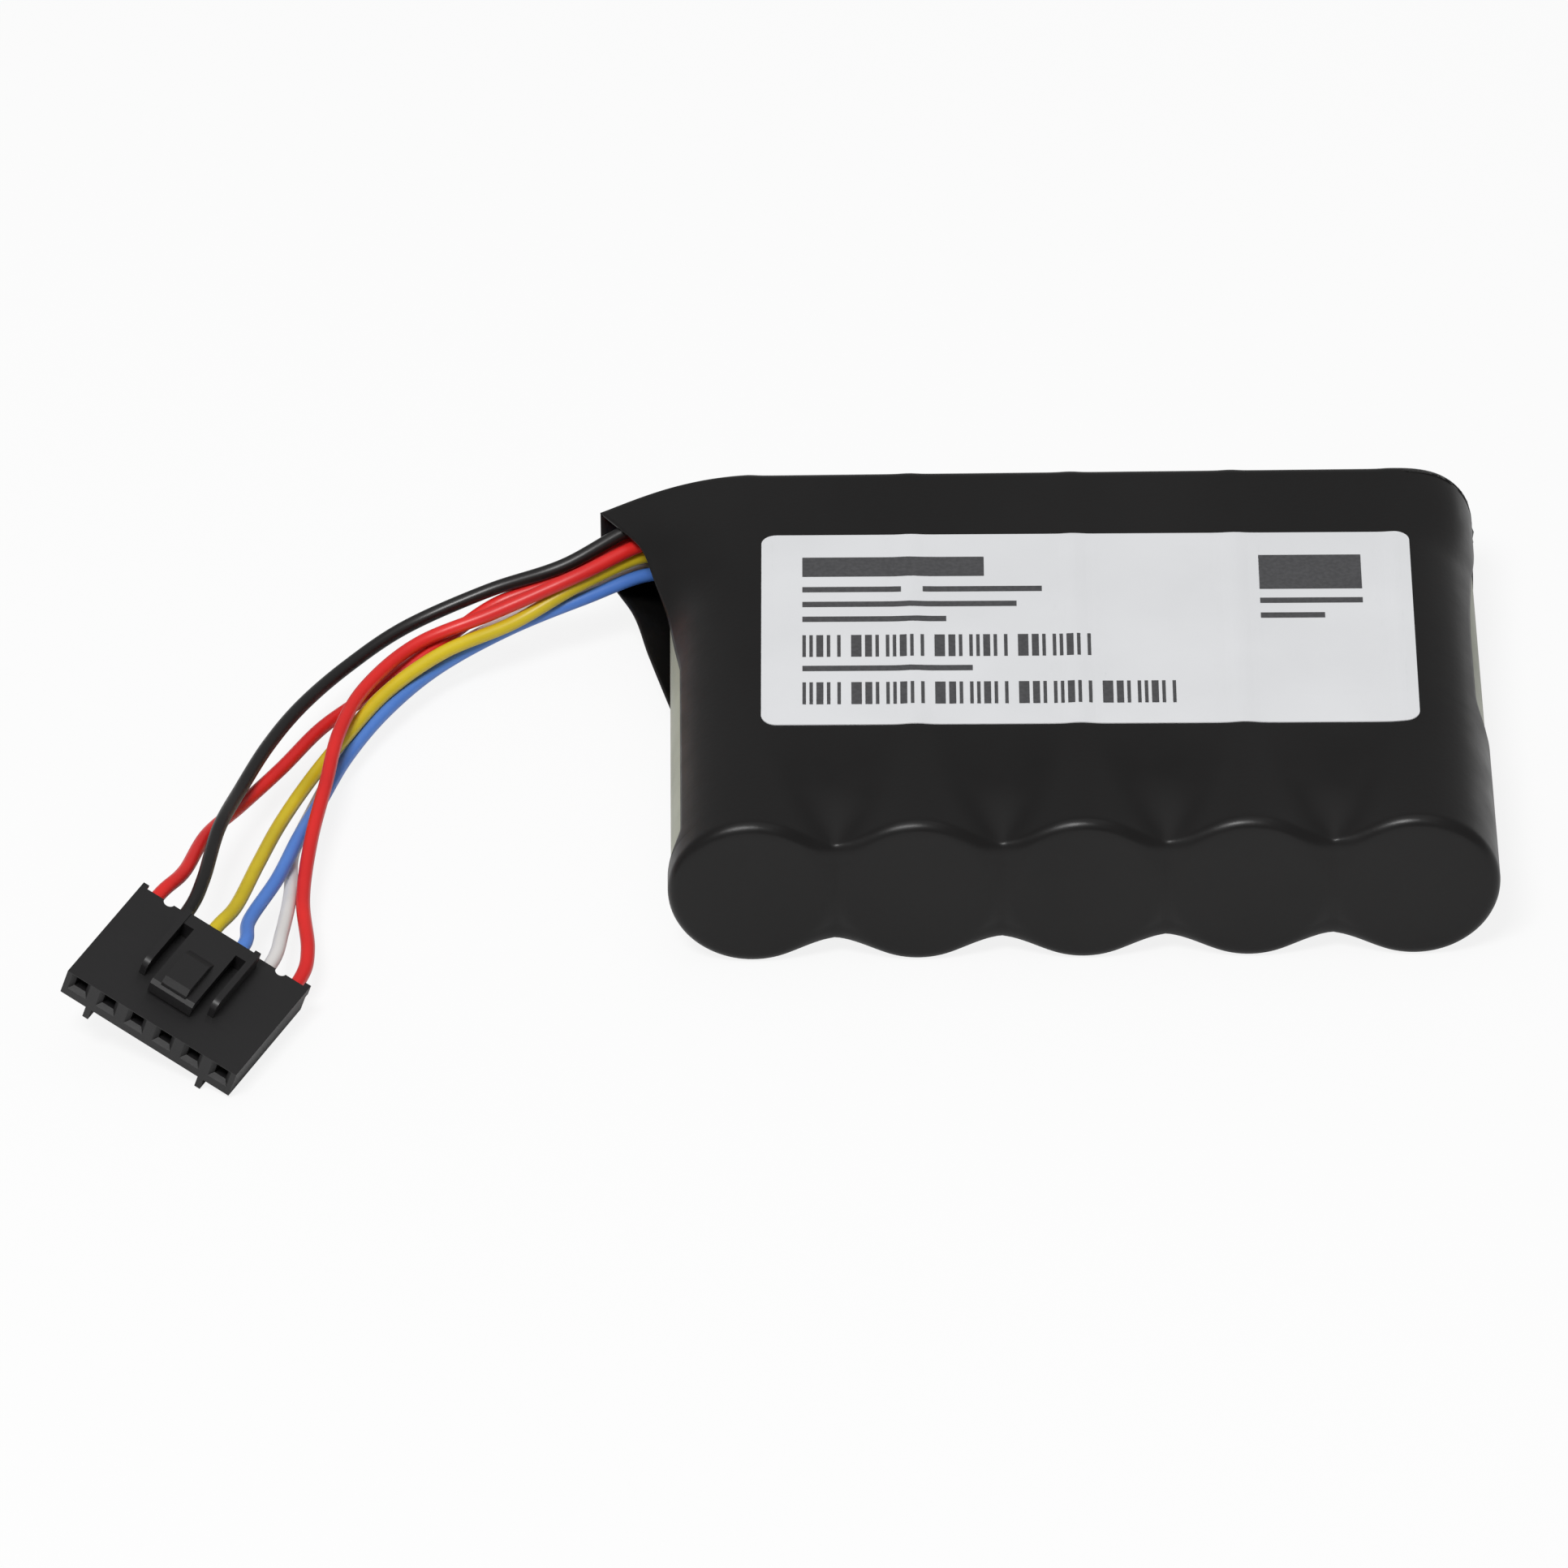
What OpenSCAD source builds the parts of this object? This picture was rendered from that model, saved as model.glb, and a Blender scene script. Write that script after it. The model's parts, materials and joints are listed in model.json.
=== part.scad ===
// Backup power module for a storage controller: five capacitor cells in a row, wired in series to
// a balancing board behind them, shrunk into a black film, with six wires to a latched crimp plug.
// Millimetres. The cells lie along Y, the row runs along X and the pack lies flat on Z = 0.
// The origin is the middle of the pack's underside.

/* [Cells] */
// Outer diameter of a cell, over its sleeve
cell_d = 12.5; // [10:0.1:15]
// Length of a cell can, from its closed bottom to its curled rim
cell_len = 42; // [34:0.5:51]
// Gap between neighbouring cells
cell_gap = 0.2; // [0.1:0.05:0.5]
// Wall thickness of a can
can_wall = 0.3; // [0.2:0.05:0.5]
// Thickness of a can's closed bottom
can_floor = 0.4; // [0.3:0.05:0.6]
// Thickness of the printed sleeve shrunk round a can
sleeve_t = 0.15; // [0.1:0.05:0.25]
// Thickness of the rubber plug that seals a can
seal_len = 4.2; // [3.6:0.1:5]
// Diameter of a cell's two leads
lead_d = 0.7; // [0.5:0.05:0.8]
// Distance between a cell's two leads
lead_pitch = 5; // [3.5:0.1:5.5]

/* [Film] */
// Thickness of the shrunk film
film_t = 0.2; // [0.15:0.05:0.3]
// Radius of the film where it turns over a cell's front rim
rim_r = 0.9; // [0.5:0.1:1.2]
// How far the film dips between two cells at the front
valley_d = 2.4; // [1.5:0.1:3]
// Length over which that dip runs out to the flat top
valley_run = 10; // [8:0.5:13]
// Radius of the film's rear edges
rear_r = 3; // [2:0.1:3.2]
// Height of the openings that the film leaves at its two ends
slot_h = 7; // [5:0.1:8]
// Distance from the front face to the opening on the right
right_slot_front = 17; // [14:0.5:20]
// Distance from the front face to the opening on the left
left_slot_front = 2.5; // [1.5:0.1:4]

/* [Label] */
// Width of the label
label_w = 50.8; // [40:0.1:52]
// Depth of the label
label_h = 25.4; // [18:0.1:27]
// Thickness of the label
label_t = 0.1; // [0.05:0.01:0.2]
// Corner radius of the label
label_r = 1.2; // [0.5:0.1:3]
// Angle by which the label was put on askew
label_turn = -0.5; // [-2:0.1:2]

/* [Circuit board] */
// Thickness of the circuit board
board_t = 1; // [0.8:0.1:1.6]
// How far the board reaches past the axis of each end cell
board_over = 3.4; // [2.5:0.1:3.6]
// Height of the board
board_h = 10.4; // [9.6:0.1:10.6]
// Thickness of the insulating card between cells and board
card_t = 0.3; // [0.2:0.05:0.5]
// Thickness of the foam pad behind the board
pad_t = 1.4; // [1:0.1:2]

/* [Plug] */
// Distance between neighbouring contacts
plug_pitch = 2.54; // [2.5:0.01:2.8]
// Length of the housing, from the mating face to the wire side
plug_len = 11.2; // [10.5:0.1:13]
// Thickness of the housing without its latch
plug_h = 2.5; // [2.4:0.1:3]
// Size of the square chamber that holds a contact
chamber = 1.9; // [1.8:0.05:2]
// Width of the latch arm
latch_w = 3.8; // [3:0.1:4.2]
// Width of the thumb pad on the latch
thumb_w = 2.2; // [1.6:0.1:2.6]

/* [Wires] */
// Outer diameter of a wire
wire_d = 1.1; // [0.9:0.05:1.15]

/* [Hidden] */
cell_count = 5;
wire_count = 6;
$fn = 64;

// Clearances
fit = 0.02;             // between a can and the sleeve and seal that are tight on it
wrap_gap = 0.05;        // between a cell and the film
front_gap = 0.08;       // between a cell's sleeve and the film's front wall
lead_gap = 0.2;         // between a cell's rim and the card
board_gap = 0.2;        // between the card and the board
parts_room = 2;         // for the parts soldered on the back of the board
rear_gap = 0.25;        // between the pad and the film's rear wall
bridge_lift = 0.02;     // the flat film between the cells lies this much above their crests
lead_fit = 0.1;         // round a lead in the card and the board
contact_fit = 0.15;     // round a contact in its chamber

// The row of cells
pitch = cell_d + cell_gap;
row_x = pitch * (cell_count - 1) / 2;
wrap_in_r = cell_d / 2 + wrap_gap;
wrap_r = wrap_in_r + film_t;
axis_z = wrap_r + bridge_lift;
top_z = 2 * axis_z;

// Distances from the film's front face to each layer of the pack, and the same along Y
cell_depth = film_t + front_gap + sleeve_t + fit;
card_depth = cell_depth + cell_len + lead_gap;
board_depth = card_depth + card_t + board_gap;
board_back_depth = board_depth + board_t;
pad_depth = board_back_depth + parts_room;
pack_len = pad_depth + pad_t + rear_gap + film_t;
front_y = -pack_len / 2;
rear_y = pack_len / 2;
cell_y = front_y + cell_depth;
cell_end_y = cell_y + cell_len;
card_y = front_y + card_depth;
board_y = front_y + board_depth;
board_back_y = front_y + board_back_depth;
pad_y = front_y + pad_depth;

// Inside a can
can_r = cell_d / 2 - sleeve_t - fit;
bore_r = can_r - can_wall;
can_edge_r = 0.8;       // outer radius round the closed bottom
bead_r = 0.55;          // radius of the groove rolled into the can over its seal
bead_back = 2.6;        // distance from the groove to the rim
curl_w = 1.3;           // width of the rim curled over the seal
vent_w = 0.5;           // width of the pressed vent lines in the bottom
vent_depth = 0.15;
vent_len = 7;
winding_gap = 0.25;     // between the winding and the can, at its side and ends
core_r = 1;             // hollow in the middle of the winding

// Film
front_dip = 0.35;       // the film between the cells lies this far behind the front face
slot_reach = 5;         // how deep the end openings are cut, from just outside the film
right_slot_straight = 6.5;
right_slot_rear = 1.5;  // distance from the point of the right opening to the rear face

// Wire mouth of the film, a beak drawn out to the left at the rear corner
mouth_x = -37.4;        // its tip
mouth_y = 21.6;
mouth_z = [5.2, 10.9];  // lowest and highest point of the tip
mouth_tip_r = 0.7;
mouth_front_y = 6;      // where its free edge meets the end cell
mouth_edge = 0.9;       // how far the free edge lies inside the drawn-out corner

// Label
label_x = 0.9;
label_y = 1.9;

// Circuit board and what is soldered to it
board_w = 2 * (row_x + board_over);
board_corner_r = 1;
solder_r = 0.8;         // foot of a solder cone
solder_h = 1.1;
lead_past = 0.7;        // how far a lead stands out of the board
card_margin = 0.3;      // the card is this much smaller than the board all round
parts_x = -row_x + 10.9; // place of the first balancing circuit
parts_pitch = 9.5;
parts_z = 3.1;          // resistors and chips lie this far above and below the row of leads
chip_size = [2.9, 1.1, 1.6];
chip_leg = [0.4, 0.15, 2.6];
resistor_size = [3.2, 0.6, 1.6];
resistor_cap = 0.5;
memory_size = [4.4, 1.2, 3];
memory_legs = 4;
memory_leg_pitch = 0.65;
part_lift = 0.1;        // solder under a chip body

// Where the wires are soldered to the board, counted from the top wire down
wire_pad_x = -row_x + 3.4;
wire_lift = 0.7;        // axis of a wire above the back of the board
wire_pad_y = board_back_y + wire_lift;
wire_straight = 7;      // each wire leaves its pad straight for this length
joint_len = 1;

// Foam pad
rear_pad_w = 2 * row_x - 0.8;
rear_pad_h = 9;
rear_pad_corner_r = 1.5;

// Plug, in its own frame: X along the row of contacts, Y from the mating face to the wires,
// Z up towards the latch. It lies with two ribs on the surface that carries the pack, held a
// little askew by its wires.
plug_at = [-71.7, -37.1, 2.9];
plug_turn = [4, 20, -27];
plug_w = wire_count * plug_pitch;
contact_z = 1.3;
chamber_front = 1.2;    // thickness of the mating face
pin_hole = 1;
pin_hole_up = 0.3;      // the pin holes sit this far above the middle of the chambers
lead_in = 0.35;
window = [1.2, 2];      // lock windows in the underside
window_y = 4;
rib_pos = 2;            // the ribs run below the second partition from each side
rib = [0.5, 8, 1.1];
ear = [0.5, 0.4, 1];
notch_r = 0.45;         // rounded cuts between the wires in the rear edge
notch_deep = 1.1;
notch_shallow = 0.4;
guard_x = 3.1;          // side walls of the latch, measured to their middle
guard_t = 0.5;
guard_y = [3.6, 10.4];
guard_h = 1.5;
guard_r = 0.7;
latch_y = [2.4, 10.2];
latch_gap = 0.6;        // travel of the arm above the housing
latch_t = 0.8;
latch_root = 1.2;
latch_hook = [0.9, 0.45];
thumb_y = [2.6, 7];
thumb_h = 0.7;          // height of the thumb pad above the arm
thumb_front = 0.4;      // length of its front bevel
thumb_rear = 1.1;       // length of its rear bevel

// Contacts, along the plug's Y
box_y = [1.3, 5.8];
box_w = chamber - 2 * contact_fit;
contact_t = 0.2;
barrel_y = [7.2, 9.6];
barrel_wall = 0.18;
barrel_fit = 0.02;
wire_end_y = 7.4;
wire_out = 1.4;         // each wire leaves the plug straight for this length
wire_sides = 8;

// Height of each solder pad, and the way each wire takes from the board to the plug
red_1_pad_z = 7.9;
red_1_way = [
    [-34, 20.5, 9], [-39.5, 17.5, 7.5], [-45.5, 16.5, 5.5], [-50.5, 12.5, 4], [-55.5, 8.5, 2.5],
    [-59, 3.5, 3], [-62, -2.5, 3.5], [-65, -8, 4], [-67.5, -14, 5.5], [-69, -20, 6.5]
];
black_pad_z = 10.3;
black_way = [
    [-34, 20, 10.5], [-40, 17.5, 8.5], [-46, 17, 6.5], [-52.5, 15, 4.5], [-57, 10.5, 4],
    [-60.5, 4.5, 4.5], [-63, -1.5, 5], [-65, -8, 5.5], [-66.5, -14.5, 6.5], [-67.5, -21, 6.5]
];
yellow_pad_z = 5.1;
yellow_way = [
    [-33, 19.5, 8], [-38.5, 16.5, 7.5], [-44, 14, 5.5], [-49.5, 11.5, 4.5], [-54, 7.5, 3.5],
    [-57.5, 1.5, 3], [-60, -4, 3], [-62, -10, 3.5], [-63.5, -16.5, 4.5], [-65, -22.5, 5]
];
blue_pad_z = 3.9;
blue_way = [
    [-33, 19, 6.5], [-38.5, 16.5, 6], [-44.5, 14.5, 4.5], [-50, 11.5, 3], [-54, 6.5, 2.5],
    [-57, 1, 2], [-59, -5, 2], [-60.5, -11, 3], [-62, -17, 3.5], [-64, -23, 4]
];
white_pad_z = 2.6;
white_way = [
    [-33, 21, 5.5], [-38.5, 18, 5.5], [-45, 16, 4], [-50.5, 13, 2.5], [-55, 8.5, 1.5],
    [-57.5, 2, 1], [-59.5, -4.5, 1], [-61, -11, 1.5], [-61, -17.5, 2.5], [-61.5, -24, 3.5]
];
red_2_pad_z = 9.1;
red_2_way = [
    [-33.5, 19, 9.5], [-39, 16, 8.5], [-45.5, 14, 6.5], [-51.5, 12, 5], [-55.5, 7, 4.5],
    [-57.5, 1, 4.5], [-58.5, -5.5, 4], [-59.5, -12, 3.5], [-60, -19, 3], [-59.5, -25.5, 3]
];
pad_heights = [red_1_pad_z, black_pad_z, yellow_pad_z, blue_pad_z, white_pad_z, red_2_pad_z];

// ---- helpers ----

function cell_x(i) = (i - 1) * pitch - row_x;
function lead_x(i, side) = cell_x(i) + side * lead_pitch / 2;

// Radius of the arc that leaves a straight line and strays from it by drop over a length run
function runout_r(run, drop) = (run * run + drop * drop) / (2 * drop);

// Local shapes whose Y axis is a cell's axis, from a section drawn as [radius, distance]
module turned_along_y() {
    rotate([-90, 0, 0]) rotate_extrude($fn = 96) children();
}

module at_cell(i, y = cell_y) {
    translate([cell_x(i), y, axis_z]) children();
}

module rounded_plate(w, h, t, r) {
    translate([0, t, 0]) rotate([90, 0, 0]) linear_extrude(t) rounded_outline(w, h, r);
}

module rounded_outline(w, h, r) {
    square([w - 2 * r, h], center = true);
    square([w, h - 2 * r], center = true);
    for (x = [-1, 1], y = [-1, 1])
        translate([x * (w / 2 - r), y * (h / 2 - r)]) circle(r);
}

// Each pair of lead holes of the whole row, in the plane of the card and the board
module lead_hole_pattern(d) {
    for (i = [1 : cell_count], side = [-1, 1])
        translate([lead_x(i, side), 0]) circle(d / 2);
}

// ---- cells ----

module cell_can(i) {
    color([0.72, 0.73, 0.74]) at_cell(i) difference() {
        turned_along_y() can_section();
        for (a = [0, 60, 120])
            rotate([0, a, 0]) cube([vent_len, 2 * vent_depth, vent_w], center = true);
    }
}

module can_section() {
    difference() {
        union() {
            difference() {
                can_outline(can_r, 0, cell_len, can_edge_r);
                can_outline(bore_r, can_floor, cell_len, can_edge_r - can_wall);
            }
            translate([bore_r - curl_w + can_wall, cell_len - can_wall])
                square([curl_w, can_wall]);
            intersection() {
                bead(bead_r + can_wall);
                square([can_r, cell_len]);
            }
        }
        bead(bead_r);
        rim_corner();
    }
}

module can_outline(r, from, to, corner) {
    translate([0, from + corner]) square([r, to - from - corner]);
    translate([0, from]) square([r - corner, corner]);
    translate([r - corner, from + corner]) intersection() {
        circle(corner);
        translate([0, -corner]) square(corner);
    }
}

module bead(r) {
    translate([can_r + bead_r / 3, cell_len - bead_back]) circle(r);
}

// The rim is rolled, not sharp
module rim_corner() {
    translate([can_r - can_wall, cell_len - can_wall]) difference() {
        square(can_wall + 1);
        circle(can_wall);
    }
}

module cell_sleeve(i) {
    lip = can_edge_r + 0.7;
    color([0.62, 0.63, 0.56]) at_cell(i) turned_along_y() {
        translate([can_r + fit, can_edge_r]) square([sleeve_t, cell_len - can_edge_r - 1]);
        translate([can_r - can_edge_r, can_edge_r]) intersection() {
            difference() {
                circle(can_edge_r + fit + sleeve_t);
                circle(can_edge_r + fit);
            }
            translate([0, -lip]) square(lip);
        }
    }
}

module cell_winding(i) {
    color([0.25, 0.22, 0.2]) at_cell(i) turned_along_y()
        translate([core_r, can_floor + winding_gap])
            square([bore_r - winding_gap - core_r, winding_len()]);
}

function winding_len() = cell_len - can_floor - 2 * winding_gap - seal_len - can_wall - fit;

module cell_seal(i) {
    color([0.1, 0.1, 0.1]) at_cell(i) difference() {
        turned_along_y() difference() {
            translate([0, cell_len - can_wall - fit - seal_len]) square([bore_r - fit, seal_len]);
            bead(bead_r + can_wall + fit);
        }
        for (side = [-1, 1])
            translate([side * lead_pitch / 2, cell_len - seal_len - 2, 0]) rotate([-90, 0, 0])
                cylinder(d = lead_d + 2 * fit, h = seal_len + 4);
    }
}

module cell_leads(i) {
    start = cell_len - can_wall - fit - seal_len - winding_gap;
    color([0.8, 0.8, 0.78]) at_cell(i) for (side = [-1, 1])
        translate([side * lead_pitch / 2, start, 0]) rotate([-90, 0, 0])
            cylinder(d = lead_d, h = board_back_y + lead_past - cell_y - start);
}

// ---- board ----

module cell_insulator() {
    color([0.75, 0.68, 0.5]) translate([0, card_y, axis_z]) difference() {
        rounded_plate(board_w - 2 * card_margin, board_h - 2 * card_margin, card_t, board_corner_r);
        translate([0, card_t + 1, 0]) rotate([90, 0, 0]) linear_extrude(card_t + 2)
            lead_hole_pattern(lead_d + 2 * lead_fit);
    }
}

module circuit_board() {
    color([0.1, 0.35, 0.2]) translate([0, board_y, axis_z]) difference() {
        rounded_plate(board_w, board_h, board_t, board_corner_r);
        translate([0, board_t + 1, 0]) rotate([90, 0, 0]) linear_extrude(board_t + 2)
            lead_hole_pattern(lead_d + 2 * lead_fit);
    }
}

// A cone of solder round each lead on the back of the board
module lead_joints() {
    color([0.75, 0.76, 0.78]) for (i = [1 : cell_count], side = [-1, 1])
        translate([lead_x(i, side), board_back_y, axis_z]) difference() {
            turned_along_y() solder_section();
            rotate([-90, 0, 0]) translate([0, 0, -1]) cylinder(d = lead_d, h = solder_h + 2);
        }
}

module solder_section() {
    neck = lead_d / 2 + 0.12;
    difference() {
        square([solder_r, solder_h]);
        translate([solder_r + solder_h / 3, solder_h]) circle(solder_r + solder_h / 3 - neck);
    }
}

// Solder over each stripped wire end, in one line from the wire's cut face
module wire_joints() {
    color([0.75, 0.76, 0.78]) for (z = pad_heights) translate([wire_pad_x, wire_pad_y, z]) {
        rotate([0, 90, 0]) linear_extrude(joint_len) joint_section();
        translate([joint_len, 0, 0]) {
            sphere(wire_d / 2);
            rotate([90, 0, 0]) cylinder(d = wire_d, h = wire_lift);
        }
    }
}

module joint_section() {
    circle(wire_d / 2);
    translate([-wire_d / 2, -wire_lift]) square([wire_d, wire_lift]);
}

module at_part(k, up) {
    translate([parts_x + k * parts_pitch, board_back_y, axis_z + up * parts_z]) children();
}

module on_board(size, lift = 0) {
    translate([-size.x / 2, lift, -size.z / 2]) cube(size);
}

module balance_resistors() {
    color([0.15, 0.15, 0.16]) for (k = [0 : cell_count - 1]) at_part(k, 1) {
        on_board([resistor_size.x - 2 * resistor_cap, resistor_size.y - 0.05, resistor_size.z]);
        for (side = [-1, 1])
            translate([side * (resistor_size.x - resistor_cap) / 2, 0, 0])
                on_board([resistor_cap, resistor_size.y, resistor_size.z]);
    }
}

module balance_chips() {
    color([0.12, 0.12, 0.13]) for (k = [0 : cell_count - 1]) if (k != 2) at_part(k, -1) {
        on_board([chip_size.x, chip_size.y - part_lift, chip_size.z], part_lift);
        for (x = [-1, 0, 1])
            translate([x * chip_size.x / 3, 0, 0]) on_board(chip_leg);
    }
}

module memory_chip() {
    color([0.12, 0.12, 0.13]) at_part(2, -1) {
        on_board([memory_size.x, memory_size.y - part_lift, memory_size.z], part_lift);
        for (k = [0 : memory_legs - 1])
            translate([(k - (memory_legs - 1) / 2) * memory_leg_pitch * 1.5, 0, 0])
                on_board([0.3, chip_leg.y, memory_size.z + 1]);
    }
}

module rear_pad() {
    color([0.2, 0.2, 0.2]) translate([0, pad_y, axis_z])
        rounded_plate(rear_pad_w, rear_pad_h, pad_t, rear_pad_corner_r);
}

// ---- film and label ----

// The film is the skin of one form less the same form drawn in by its thickness, with the
// openings of its two ends cut out.
module film_wrap() {
    color([0.15, 0.15, 0.15]) difference() {
        wrap_form(0);
        wrap_form(film_t);
        mouth_cut();
        left_slot();
        right_slot();
    }
}

module wrap_form(inset) {
    for (i = [1 : cell_count])
        translate([cell_x(i), front_y, axis_z]) turned_along_y() nose_section(inset);
    translate([-row_x, 0, axis_z]) rotate([90, 0, 90]) linear_extrude(2 * row_x)
        bridge_section(inset);
    mouth_form(inset);
}

// Half section of the film round one cell: a small radius at the front rim, a large one at the rear
module nose_section(inset) {
    r = wrap_r - inset;
    to = pack_len - inset;
    can_outline(r, inset, pack_len / 2, rim_r - inset);
    translate([0, pack_len / 2 - 1]) square([r, pack_len / 2 + 1 - rear_r]);
    translate([0, pack_len - rear_r - 1]) square([r - rear_r + inset, rear_r + 1 - inset]);
    translate([r - rear_r + inset, pack_len - rear_r]) intersection() {
        circle(rear_r - inset);
        square(to);
    }
}

// Side section of the flat film that spans the cells. It dips towards the front, above and below.
module bridge_section(inset) {
    half = axis_z - inset;
    run_r = runout_r(valley_run, valley_d);
    difference() {
        union() {
            translate([front_y + front_dip + inset, -half])
                square([pack_len - front_dip - inset - rear_r, 2 * half]);
            translate([0, -half + rear_r - inset])
                square([rear_y - inset, 2 * (half - rear_r + inset)]);
            for (s = [-1, 1])
                translate([rear_y - rear_r, s * (half - rear_r + inset)]) circle(rear_r - inset);
        }
        for (s = [-1, 1]) valley_cut(s, half, run_r, inset);
    }
}

// Takes off what lies outside the arc that the film follows down into the valley
module valley_cut(s, half, run_r, inset) {
    arc_y = front_y + valley_run;
    difference() {
        translate([front_y - 1, s > 0 ? half - valley_d - 1 : -half - 1])
            square([valley_run + 1, valley_d + 2]);
        translate([arc_y, s * (axis_z - run_r)]) circle(run_r - inset, $fn = 256);
    }
}

module mouth_form(inset) {
    hull() {
        translate([-row_x, mouth_front_y, axis_z]) rotate([-90, 0, 0])
            cylinder(r = wrap_r - 0.12 - inset, h = rear_y - rear_r - mouth_front_y, $fn = 40);
        translate([mouth_x + mouth_tip_r, mouth_y, mouth_z[0] + inset])
            cylinder(r = mouth_tip_r - inset, h = mouth_z[1] - mouth_z[0] - 2 * inset, $fn = 24);
    }
}

// The beak's free edge runs from its tip to the side of the end cell
module mouth_cut() {
    tip = [mouth_x + mouth_edge, mouth_y];
    root = [-row_x - wrap_r + 0.3, mouth_front_y];
    translate([0, 0, -1]) linear_extrude(top_z + 2)
        polygon([tip, root, [mouth_x - 3, mouth_front_y - 3], [mouth_x - 3, mouth_y]]);
}

module left_slot() {
    y = front_y + left_slot_front + slot_h / 2;
    translate([-row_x - wrap_r - 1, 0, axis_z]) rotate([90, 0, 90])
        linear_extrude(slot_reach) {
            translate([y, 0]) circle(slot_h / 2);
            translate([y, -slot_h / 2]) square([mouth_front_y + 1 - y, slot_h]);
        }
}

module right_slot() {
    translate([row_x + wrap_r + 1 - slot_reach, 0, axis_z]) rotate([90, 0, 90])
        linear_extrude(slot_reach) right_slot_outline();
}

// Round at the front, straight for a while, then closing to a point at the rear
module right_slot_outline() {
    y = front_y + right_slot_front + slot_h / 2;
    taper = rear_y - right_slot_rear - y - right_slot_straight;
    r = runout_r(taper, slot_h / 2);
    translate([y, 0]) circle(slot_h / 2);
    translate([y, -slot_h / 2]) square([right_slot_straight, slot_h]);
    translate([y + right_slot_straight, 0]) intersection() {
        translate([-0.5, -slot_h / 2]) square([taper + 1, slot_h]);
        lens(r, r - slot_h / 2);
    }
}

module lens(r, off) {
    intersection() {
        translate([0, off]) circle(r, $fn = 256);
        translate([0, -off]) circle(r, $fn = 256);
    }
}

module label() {
    color([0.88, 0.88, 0.88]) translate([label_x, label_y, top_z]) rotate([0, 0, label_turn])
        linear_extrude(label_t) rounded_outline(label_w, label_h, label_r);
}

// ---- plug ----

function plug_x(i) = (i - (wire_count + 1) / 2) * plug_pitch;

function turn_x(v, a) = [v.x, v.y * cos(a) - v.z * sin(a), v.y * sin(a) + v.z * cos(a)];
function turn_y(v, a) = [v.x * cos(a) + v.z * sin(a), v.y, v.z * cos(a) - v.x * sin(a)];
function turn_z(v, a) = [v.x * cos(a) - v.y * sin(a), v.x * sin(a) + v.y * cos(a), v.z];
function from_plug(v) =
    plug_at + turn_z(turn_y(turn_x(v, plug_turn.x), plug_turn.y), plug_turn.z);

module in_plug() {
    translate(plug_at) rotate(plug_turn) children();
}

module connector_housing() {
    color([0.16, 0.16, 0.16]) in_plug() {
        difference() {
            union() {
                translate([-plug_w / 2, 0, 0]) cube([plug_w, plug_len, plug_h]);
                plug_ears();
                plug_ribs();
            }
            for (i = [1 : wire_count]) translate([plug_x(i), 0, contact_z]) contact_space();
            for (k = [1 : wire_count - 1])
                rear_notch(k, k == 2 || k == 3 ? notch_deep : notch_shallow);
        }
        latch();
    }
}

module plug_ears() {
    for (side = [-1, 1])
        translate([side * (plug_w - ear.x) / 2 - ear.x / 2, plug_len - 0.1, plug_h - ear.z])
            cube([ear.x, ear.y + 0.1, ear.z]);
}

module plug_ribs() {
    for (side = [-1, 1])
        translate([side * rib_pos * plug_pitch - rib.x / 2, 0, -rib.z]) cube([rib.x, rib.y, rib.z + 0.1]);
}

// What is cut out of the housing for one contact: chamber, pin hole with its lead-in, lock window
module contact_space() {
    translate([-chamber / 2, chamber_front, -chamber / 2]) cube([chamber, plug_len, chamber]);
    translate([-pin_hole / 2, -1, pin_hole_up - pin_hole / 2])
        cube([pin_hole, chamber_front + 2, pin_hole]);
    translate([0, 0, pin_hole_up]) rotate([-90, 45, 0]) translate([0, 0, -0.01])
        cylinder(r1 = (pin_hole / 2 + lead_in) * sqrt(2), r2 = pin_hole / 2 * sqrt(2), h = lead_in,
                 $fn = 4);
    translate([-window.x / 2, window_y, -contact_z - 1]) cube([window.x, window.y, contact_z + 1]);
}

module rear_notch(k, depth) {
    x = k * plug_pitch - plug_w / 2;
    translate([x, plug_len - depth + notch_r, -1]) cylinder(r = notch_r, h = plug_h + 2, $fn = 32);
    translate([x - notch_r, plug_len - depth + notch_r, -1]) cube([2 * notch_r, depth + 1, plug_h + 2]);
}

// Two guard walls, and between them a sprung arm with a thumb pad that grows out of a block at
// the wire side. Housing and latch are one moulding.
module latch() {
    for (side = [-1, 1])
        translate([side * guard_x - guard_t / 2, 0, plug_h]) rotate([90, 0, 90])
            linear_extrude(guard_t) guard_outline();
    translate([-guard_x, latch_y[1] - latch_root, plug_h - 0.1])
        cube([2 * guard_x, latch_root, latch_gap + latch_t + 0.1]);
    translate([-latch_w / 2, 0, plug_h + latch_gap]) rotate([90, 0, 90])
        linear_extrude(latch_w) arm_outline();
    translate([-thumb_w / 2, 0, plug_h + latch_gap + latch_t]) rotate([90, 0, 90])
        linear_extrude(thumb_w) thumb_outline();
}

module guard_outline() {
    w = guard_y[1] - guard_y[0];
    translate([guard_y[0], -0.1]) square([w, guard_h - guard_r + 0.1]);
    translate([guard_y[0] + guard_r, 0]) square([w - guard_r, guard_h]);
    translate([guard_y[0] + guard_r, guard_h - guard_r]) circle(guard_r);
}

// Side view of the arm, with the hook that catches the header at its free front end
module arm_outline() {
    polygon([
        [latch_y[0] + 0.3, latch_t], [latch_y[0], latch_t - 0.3], [latch_y[0], -latch_hook[1]],
        [latch_y[0] + latch_hook[0], 0], [latch_y[1], 0], [latch_y[1], latch_t]
    ]);
}

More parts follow.
